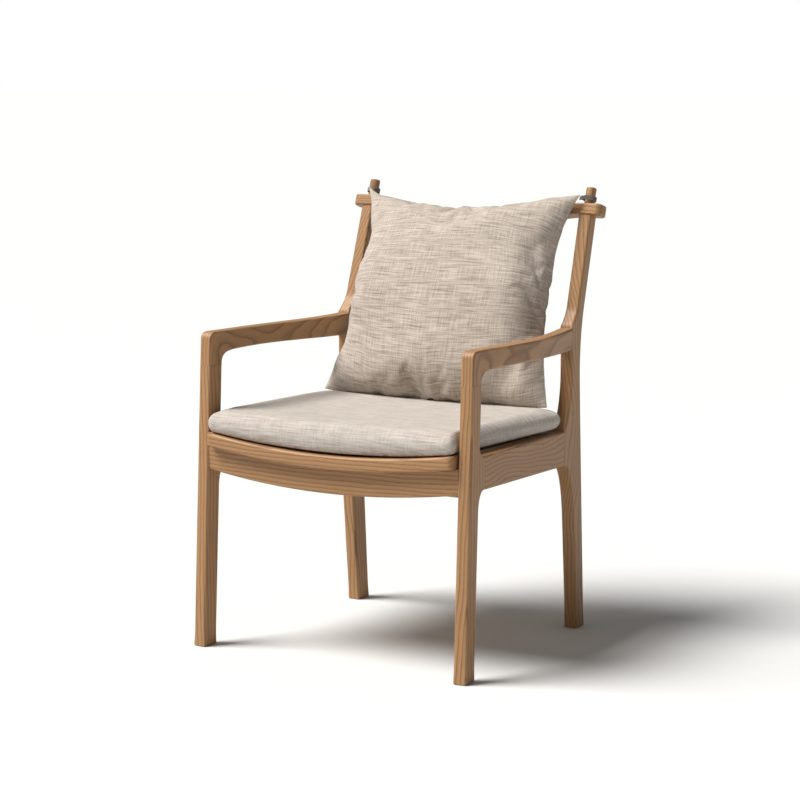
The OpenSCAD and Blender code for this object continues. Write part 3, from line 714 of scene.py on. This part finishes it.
def make_seat_pad():
    """The upholstered pad: the CAD pad's outline and dish, with full soft edges and a crown."""
    node = "seat_cushion"
    loop = outlines(node, FLAT_AXES)[0]
    floor_loop = outlines(node, np.diag((1.0, -1.0, -1.0)))[0]
    under = np.polyfit(floor_loop[:, 0], -floor_loop[:, 2], 2)
    fall = np.polyfit(floor_loop[:, 1] * -1, -floor_loop[:, 2] - np.polyval(under, floor_loop[:, 0]), 1)
    soft = 0.0165
    outline = smoothed(loop[:, :2], 0.005)
    middle_y = (outline[:, 1].max() + outline[:, 1].min()) / 2
    reach_x, reach_y = np.abs(outline[:, 0]).max(), (outline[:, 1].max() - outline[:, 1].min()) / 2

    def base(x, y):
        return np.polyval(under, x) + np.polyval(fall, y)

    mesh = solid_from_outline(node + "_cover", outline, soft)
    piece = finished(node + "_cover", mesh)
    remesh = piece.modifiers.new("even", "REMESH")
    remesh.mode, remesh.voxel_size = "VOXEL", 0.0055
    apply_modifier(piece, "even")
    flat_points = np.array([v.co for v in piece.data.vertices])
    inflate(piece, PAD_PRESSURE, PAD_FRAMES, bending=2.5)
    grown = np.array([v.co for v in piece.data.vertices])
    move = grown - flat_points
    length = np.linalg.norm(move, axis=1)
    move *= (np.minimum(length, PAD_CAP) / np.maximum(length, 1e-9))[:, None]
    p = flat_points + move
    p[:, 0] *= reach_x / np.abs(p[:, 0]).max()
    p[:, 1] = middle_y + (p[:, 1] - (p[:, 1].max() + p[:, 1].min()) / 2) * 2 * reach_y / np.ptp(p[:, 1])
    x, y, h = p.T
    edge = np.clip(1 - (x / reach_x) ** 6, 0, 1) * np.clip(1 - ((y - middle_y) / reach_y) ** 6, 0, 1)
    share = np.clip(h / PAD_SHEET, 0, 1.25)
    low = base(x, y)
    side_top = base(reach_x * 0.93, y) + PAD_EDGE
    dish = PAD_EDGE + (side_top - PAD_EDGE - low) * 0.72
    p[:, 2] = low + share * dish + 0.0035 * edge * np.clip(share, 0, 1)
    p[:, 2] = np.maximum(p[:, 2], low + 0.0002)
    set_places(piece.data, p)
    wrap = side_top + 0.004 - p[:, 2]
    set_pattern(piece.data, "weave", np.stack([x + np.sign(x) * wrap * (np.abs(x) > reach_x - 0.02),
                                               y - wrap * (y < middle_y), np.full(len(x), PAD_SEED)], 1))
    piece.data.shade_smooth()
    refine(piece)
    stands_for(piece, node)
    return piece


PAD_SEED = 0.37       # place of the pad's cloth in the pattern
PAD_PRESSURE = 3
PAD_FRAMES = 14
PAD_CAP = 0.005
PAD_EDGE = 0.034     # the pad's thickness at its sides
PAD_SHEET = 0.034    # and the thickness of the sheet that it is blown up from


def solid_from_outline(name, outline, soft):
    """A sheet of the pad's thickness whose rim is half round."""
    turns = np.linspace(0, math.pi / 2, 7)
    room = turning_room(outline, soft)
    moves = insets(outline, soft, np.zeros(len(outline), bool))
    moves *= (room / soft)[:, None]
    shrink = 0.0015 / soft
    steps = [(outline + moves * (1 - math.sin(a) + shrink), soft * (1 - math.cos(a))) for a in turns]
    upper = [(ring, PAD_SHEET - drop) for ring, drop in steps]
    mesh = ring_mesh(name, upper + steps[::-1])
    bm = bmesh.new()
    bm.from_mesh(mesh)
    bmesh.ops.triangulate(bm, faces=[f for f in bm.faces if len(f.verts) > 4])
    bmesh.ops.recalc_face_normals(bm, faces=bm.faces)
    bm.to_mesh(mesh)
    bm.free()
    return mesh


def turning_room(outline, most):
    """At each point, how far the outline can move inward before a convex bend closes up."""
    ahead, length = directions(outline)
    before, before_length = np.roll(ahead, 1, 0), np.roll(length, 1)
    turn = np.arctan2(before[:, 0] * ahead[:, 1] - before[:, 1] * ahead[:, 0], (before * ahead).sum(1))
    radius = (length + before_length) / 2 / np.maximum(turn, 1e-4)
    room = np.minimum(most, 0.8 * radius)
    for _ in range(12):
        room = np.minimum(room, np.minimum(np.roll(room, 1) + 0.0012, np.roll(room, -1) + 0.0012))
    return room


def make_loop(side):
    """A woven tape from the cushion's top corner round the peg and back."""
    node = "pillow_loop_" + side
    axes = lean_axes()
    local = node_points(node) @ axes.T
    low, high = local[:, 2].min(), local[:, 2].max()
    centre = peg_centre(side)
    ring = 0.0115
    tail = np.array((centre[0] - np.sign(centre[0]) * 0.011, local[:, 1].min() + 0.003))
    gap = tail - centre
    distance, heading = np.linalg.norm(gap), math.atan2(gap[1], gap[0])
    touch = math.acos(ring / distance)
    arc = [centre + ring * np.array((math.cos(a), math.sin(a)))
           for a in np.linspace(heading + touch, heading + 2 * math.pi - touch, 30)]
    side_step = np.array((-gap[1], gap[0])) / distance * 0.0008
    first = [tail + side_step + (arc[0] - tail - side_step) * t for t in np.linspace(0, 1, 10)[:-1]]
    last = [arc[-1] + (tail - side_step - arc[-1]) * t for t in np.linspace(0, 1, 10)[1:]]
    path = np.array(first + arc + last)
    middle, half = (low + high) / 2 - 0.001, (high - low) / 2
    verts, faces, flat = [], [], []
    along = np.concatenate([[0], np.cumsum(np.linalg.norm(np.diff(path, axis=0), axis=1))])
    for k, (p, s) in enumerate(zip(path, along)):
        near_tail = 1 - np.clip(np.linalg.norm(p - tail) / (distance - ring), 0, 1)
        rise = -0.004 * smoothstep(near_tail)
        for t in np.linspace(-1, 1, 7):
            verts.append((p[0], p[1], middle + rise + t * half * (1 - 0.25 * near_tail)))
            flat.append((s, t * half, 0.7))
    for k in range(len(path) - 1):
        for t in range(6):
            a = k * 7 + t
            faces.append([a, a + 1, a + 8, a + 7])
    mesh = bpy.data.meshes.new(node + "_tape")
    mesh.from_pydata(verts, [], faces)
    set_places(mesh, np.array(verts) @ axes)
    set_pattern(mesh, "weave", flat)
    piece = finished(node + "_tape", mesh)
    thick = piece.modifiers.new("thick", "SOLIDIFY")
    thick.thickness, thick.offset = 0.0016, 0
    apply_modifier(piece, "thick")
    refine(piece)
    stands_for(piece, node, "pillow")
    return piece


# ---------------------------------------------------------------- materials

def new_material(name, roughness, coat=0.0, sheen=0.0):
    material = bpy.data.materials.new(name)
    material.use_nodes = True
    tree = material.node_tree
    shader = tree.nodes["Principled BSDF"]
    shader.inputs["Roughness"].default_value = roughness
    shader.inputs["Coat Weight"].default_value = coat
    shader.inputs["Coat Roughness"].default_value = 0.35
    shader.inputs["Sheen Weight"].default_value = sheen
    shader.inputs["Sheen Roughness"].default_value = 0.6
    shader.inputs["Specular IOR Level"].default_value = 0.35
    return material, tree, shader


class Graph:
    """Short ways to add the nodes that a material is made of."""

    def __init__(self, tree):
        self.tree = tree

    def node(self, kind, **settings):
        node = self.tree.nodes.new(kind)
        for key, value in settings.items():
            setattr(node, key, value)
        return node

    def join(self, value, socket):
        if isinstance(value, bpy.types.NodeSocket):
            self.tree.links.new(value, socket)
        else:
            socket.default_value = value

    def math(self, operation, *values, clamp=False):
        node = self.node("ShaderNodeMath", operation=operation, use_clamp=clamp)
        for value, socket in zip(values, node.inputs):
            self.join(value, socket)
        return node.outputs[0]

    def scaled(self, vector, scale):
        node = self.node("ShaderNodeVectorMath", operation="MULTIPLY")
        self.join(vector, node.inputs[0])
        node.inputs[1].default_value = scale
        return node.outputs[0]

    def noise(self, vector, scale, detail=3.0, rough=0.55, distortion=0.0):
        node = self.node("ShaderNodeTexNoise")
        self.join(vector, node.inputs["Vector"])
        node.inputs["Scale"].default_value = scale
        node.inputs["Detail"].default_value = detail
        node.inputs["Roughness"].default_value = rough
        node.inputs["Distortion"].default_value = distortion
        return node.outputs["Fac"]

    def ramp(self, value, stops, interpolation="LINEAR"):
        node = self.node("ShaderNodeValToRGB")
        node.color_ramp.interpolation = interpolation
        while len(node.color_ramp.elements) < len(stops):
            node.color_ramp.elements.new(0.5)
        for element, (place, colour) in zip(node.color_ramp.elements, stops):
            element.position = place
            element.color = (*colour, 1) if len(colour) == 3 else colour
        self.join(value, node.inputs[0])
        return node.outputs[0]

    def mix(self, share, a, b, blend="MIX"):
        node = self.node("ShaderNodeMix", data_type="RGBA", blend_type=blend)
        self.join(share, node.inputs[0])
        for value, socket in ((a, node.inputs[6]), (b, node.inputs[7])):
            if isinstance(value, tuple):
                socket.default_value = (*value, 1)
            else:
                self.join(value, socket)
        return node.outputs[2]

    def bump(self, height, distance, strength, before=None):
        node = self.node("ShaderNodeBump")
        node.inputs["Strength"].default_value = strength
        node.inputs["Distance"].default_value = distance
        self.join(height, node.inputs["Height"])
        if before:
            self.join(before, node.inputs["Normal"])
        return node.outputs[0]


def ash_material(name, light, dark, ring_gap=0.0062, contrast=0.95, roughness=0.52, coat=0.12):
    """Open-grained ash: arched growth rings, fine fibre and short dark pores along the first grain axis."""
    material, tree, shader = new_material(name, roughness, coat)
    g = Graph(tree)
    grain = g.node("ShaderNodeAttribute", attribute_name="grain").outputs["Vector"]
    split = g.node("ShaderNodeSeparateXYZ")
    g.join(grain, split.inputs[0])
    _, across, deep = split.outputs
    wander = g.math("SUBTRACT", g.noise(g.scaled(grain, (2.2, 5.0, 5.0)), 1.0, 2.0), 0.5)
    drift = g.math("SUBTRACT", g.noise(g.scaled(grain, (7.0, 26.0, 26.0)), 1.0, 3.0), 0.5)
    shifted = g.math("ADD", g.math("ADD", across, 0.011), g.math("MULTIPLY", wander, 0.085))
    far_off = g.math("ADD", g.math("ADD", deep, 0.05), g.math("MULTIPLY", wander, 0.05))
    distance = g.math("SQRT", g.math("ADD", g.math("MULTIPLY", shifted, shifted),
                                     g.math("MULTIPLY", far_off, far_off)))
    distance = g.math("ADD", distance, g.math("MULTIPLY", drift, 0.0085))
    phase = g.math("FRACT", g.math("DIVIDE", distance, ring_gap))
    ring = g.ramp(phase, ((0.0, (1, 1, 1)), (0.10, (0.82, 0.82, 0.82)), (0.32, (0.25, 0.25, 0.25)),
                          (0.62, (0.06, 0.06, 0.06)), (0.90, (0.0, 0.0, 0.0)), (1.0, (0.75, 0.75, 0.75))))
    fibre = g.noise(g.scaled(grain, (9.0, 700.0, 700.0)), 1.0, 3.0, 0.6)
    streak = g.noise(g.scaled(grain, (3.0, 130.0, 130.0)), 1.0, 4.0, 0.6)
    pores = g.noise(g.scaled(grain, (95.0, 1500.0, 1500.0)), 1.0, 2.0, 0.5)
    pore = g.ramp(pores, ((0.56, (0, 0, 0)), (0.66, (1, 1, 1))))
    pore = g.math("MULTIPLY", pore, g.math("ADD", g.math("MULTIPLY", ring, 0.8), 0.2))
    cloudy = g.noise(g.scaled(grain, (4.0, 16.0, 16.0)), 1.0, 2.0)
    depth = g.math("MULTIPLY", ring, g.math("ADD", g.math("MULTIPLY", streak, 0.9), 0.25))
    colour = g.mix(g.math("MULTIPLY", depth, contrast, clamp=True), light, dark)
    colour = g.mix(g.math("MULTIPLY", pore, 0.42), colour, tuple(c * 0.55 for c in dark))
    tone = g.math("ADD", g.math("MULTIPLY", streak, 0.34), g.math("MULTIPLY", fibre, 0.22))
    tone = g.math("ADD", g.math("ADD", tone, g.math("MULTIPLY", cloudy, 0.22)), 0.61)
    grey = g.node("ShaderNodeCombineColor")
    for socket in grey.inputs[:3]:
        g.join(tone, socket)
    colour = g.mix(1.0, colour, grey.outputs[0], "MULTIPLY")
    g.join(colour, shader.inputs["Base Color"])
    rough = g.math("ADD", g.math("MULTIPLY", pore, 0.2), roughness)
    g.join(rough, shader.inputs["Roughness"])
    hollow = g.math("ADD", pore, g.math("MULTIPLY", ring, 0.25))
    height = g.math("SUBTRACT", g.math("MULTIPLY", fibre, 0.35), hollow)
    g.join(g.bump(height, 0.00035, 0.45), shader.inputs["Normal"])
    return material


def linen_material(name, light, dark, pitch=0.0015, slub=1.0):
    """Slub linen: a plain weave whose weft runs across, with thick and thin yarns and a few dark specks."""
    material, tree, shader = new_material(name, 0.92, sheen=0.12)
    g = Graph(tree)
    weave = g.node("ShaderNodeAttribute", attribute_name="weave").outputs["Vector"]
    split = g.node("ShaderNodeSeparateXYZ")
    g.join(weave, split.inputs[0])
    wobble = g.math("MULTIPLY", g.math("SUBTRACT", g.noise(weave, 60.0, 2.0), 0.5), pitch * 1.2)
    turns = math.pi / pitch
    warp = g.math("SINE", g.math("MULTIPLY", g.math("ADD", split.outputs[0], wobble), turns))
    weft = g.math("SINE", g.math("MULTIPLY", g.math("ADD", split.outputs[1], wobble), turns))
    over = g.math("MULTIPLY", warp, weft)
    warp_yarn = g.math("ABSOLUTE", warp)
    weft_yarn = g.math("ABSOLUTE", weft)
    lift = g.math("MULTIPLY", over, 0.4)
    height = g.math("MAXIMUM", g.math("MULTIPLY", warp_yarn, g.math("ADD", lift, 0.6)),
                    g.math("MULTIPLY", weft_yarn, g.math("SUBTRACT", 0.6, lift)))
    across = g.noise(g.scaled(weave, (22.0, 520.0, 60.0)), 1.0, 3.0, 0.6)
    broad = g.noise(g.scaled(weave, (16.0, 300.0, 40.0)), 1.0, 3.0, 0.65)
    upright = g.noise(g.scaled(weave, (480.0, 26.0, 60.0)), 1.0, 2.0, 0.6)
    dots = g.noise(g.scaled(weave, (260.0, 420.0, 60.0)), 1.0, 1.0)
    speck = g.ramp(dots, ((0.73, (0, 0, 0)), (0.80, (1, 1, 1))))
    fuzz = g.noise(weave, 1400.0, 2.0)
    tone = g.math("ADD", g.math("MULTIPLY", across, 0.46 * slub), g.math("MULTIPLY", upright, 0.26 * slub))
    tone = g.math("ADD", tone, g.math("MULTIPLY", broad, 0.30 * slub))
    # painted shade: the weave's height darkens the colour in the low places between the yarns and lightens the
    # raised crossings
    tone = g.math("ADD", tone, g.math("MULTIPLY", height, 0.16))
    tone = g.math("ADD", tone, g.math("MULTIPLY", fuzz, 0.14))
    low = 0.53 * slub + 0.10
    tone = g.math("DIVIDE", g.math("SUBTRACT", tone, low - 0.125), 0.27, clamp=True)
    colour = g.mix(tone, dark, light)
    colour = g.mix(g.math("MULTIPLY", speck, 0.55), colour, tuple(c * 0.4 for c in dark))
    g.join(colour, shader.inputs["Base Color"])
    slubs = g.math("MULTIPLY", g.math("ADD", across, upright), 0.7)
    relief = g.math("ADD", g.math("MULTIPLY", height, 0.7), slubs)
    g.join(g.bump(relief, 0.0006, 0.55), shader.inputs["Normal"])
    return material


def steel_material(name):
    material, tree, shader = new_material(name, 0.32)
    g = Graph(tree)
    shader.inputs["Metallic"].default_value = 1
    place = g.node("ShaderNodeTexCoord").outputs["Object"]
    tone = g.noise(place, 900.0, 3.0)
    colour = g.ramp(tone, ((0.3, (0.42, 0.42, 0.44)), (0.7, (0.66, 0.66, 0.68))))
    g.join(colour, shader.inputs["Base Color"])
    g.join(g.bump(tone, 0.0001, 0.3), shader.inputs["Normal"])
    return material


def plain_wood_material(name, light, dark, scale=(6.0, 260.0, 260.0)):
    """Wood of the pieces that stay as CAD made them, with its grain along the chair's width."""
    material, tree, shader = new_material(name, 0.6)
    g = Graph(tree)
    place = g.node("ShaderNodeTexCoord").outputs["Object"]
    fibre = g.noise(g.scaled(place, scale), 1.0, 4.0, 0.6)
    broad = g.noise(g.scaled(place, tuple(s / 8 for s in scale)), 1.0, 3.0, 0.6)
    tone = g.math("ADD", g.math("MULTIPLY", fibre, 0.6), g.math("MULTIPLY", broad, 0.4))
    g.join(g.ramp(tone, ((0.34, dark), (0.62, light))), shader.inputs["Base Color"])
    g.join(g.bump(fibre, 0.0003, 0.4), shader.inputs["Normal"])
    return material


def paint(obj, material):
    obj.data.materials.clear()
    obj.data.materials.append(material)


# ---------------------------------------------------------------- making

make_side("left")
make_side("right")
plans = frame_plans()
make_band("front_apron", BAND_R, plans)
make_band("seat_lip", EDGE_R, ())
make_band("rear_rail", BAND_R, plans)
make_crest()
for number in range(1, 6):
    make_spindle(number)
timber = list(pieces)
pillow = make_pillow()
pad = make_seat_pad()
tapes = [make_loop(side) for side in SIDES]

ASH_LIGHT, ASH_DARK = (0.365, 0.200, 0.088), (0.150, 0.068, 0.027)
ash = ash_material("ash", ASH_LIGHT, ASH_DARK)
for piece in timber:
    paint(piece, ash)
linen = linen_material("linen", (0.57, 0.495, 0.425), (0.16, 0.122, 0.095))
seat_linen = linen_material("seat_linen", (0.58, 0.525, 0.47), (0.23, 0.195, 0.165), slub=0.8)
tape = linen_material("loop_webbing", (0.22, 0.19, 0.165), (0.10, 0.085, 0.07), pitch=0.0011)
paint(pillow, linen)
paint(pad, seat_linen)
for piece in tapes:
    paint(piece, tape)
inner = plain_wood_material("inner_ash", (0.50, 0.345, 0.195), (0.33, 0.205, 0.105))
dowel = plain_wood_material("dowel", (0.58, 0.42, 0.26), (0.42, 0.28, 0.155))
plywood = plain_wood_material("plywood", (0.60, 0.46, 0.30), (0.46, 0.33, 0.20), (9.0, 320.0, 1800.0))
steel = steel_material("screw_steel")
slots = {s["node"]: s["material_slot"] for s in frame["record"]["subparts"]}
kept = {"ash": inner, "dowel": dowel, "plywood": plywood, "screw_steel": steel}
for name, node in frame["nodes"].items():
    if not node.hide_render:
        paint(node, kept[slots[name]])


# ---------------------------------------------------------------- camera, floor and light

def place_camera():
    """The view from the chair's front right, a little above the seat."""
    turn, rise, distance = math.radians(31.39), math.radians(8.27), 4.7156
    target = Vector((-0.0144, -0.0973, 0.4515))
    toward = Vector((math.sin(turn) * math.cos(rise), -math.cos(turn) * math.cos(rise), math.sin(rise)))
    lens = bpy.data.cameras.new("camera")
    lens.lens, lens.sensor_width = 117.94, 36
    lens.shift_x, lens.shift_y = 0.03525, -0.0019
    camera = bpy.data.objects.new("camera", lens)
    camera.location = target + toward * distance
    camera.rotation_euler = (-toward).to_track_quat("-Z", "Y").to_euler()
    bpy.context.scene.collection.objects.link(camera)
    bpy.context.scene.camera = camera


def sun_light(name, toward, power, width, colour):
    """An even light from the direction given, as wide and soft as a studio's ceiling screen."""
    data = bpy.data.lights.new(name, "SUN")
    data.energy, data.angle, data.color = power, width, colour
    light = bpy.data.objects.new(name, data)
    light.rotation_euler = (-Vector(toward)).to_track_quat("-Z", "Y").to_euler()
    bpy.context.scene.collection.objects.link(light)


def make_stage():
    bpy.ops.mesh.primitive_plane_add(size=60, location=(0, 0, -0.0005))
    floor = bpy.context.object
    floor.name = "floor"
    material, _, shader = new_material("floor", 0.9)
    shader.inputs["Base Color"].default_value = (0.66, 0.66, 0.655, 1)
    paint(floor, material)
    world = bpy.data.worlds.new("studio")
    world.use_nodes = True
    g = Graph(world.node_tree)
    seen = g.node("ShaderNodeLightPath").outputs["Is Camera Ray"]
    background = world.node_tree.nodes["Background"]
    background.inputs["Color"].default_value = (1, 1, 1, 1)
    g.join(g.math("MAXIMUM", seen, WORLD_LIGHT), background.inputs["Strength"])
    bpy.context.scene.world = world
    sun_light("key", (-0.55, -0.45, 1.0), KEY_LIGHT, math.radians(30), (1, 0.985, 0.965))
    bpy.context.scene.view_settings.view_transform = "Standard"
    bpy.context.scene.view_settings.look = "None"


WORLD_LIGHT = 0.2
KEY_LIGHT = 5.4
place_camera()
make_stage()
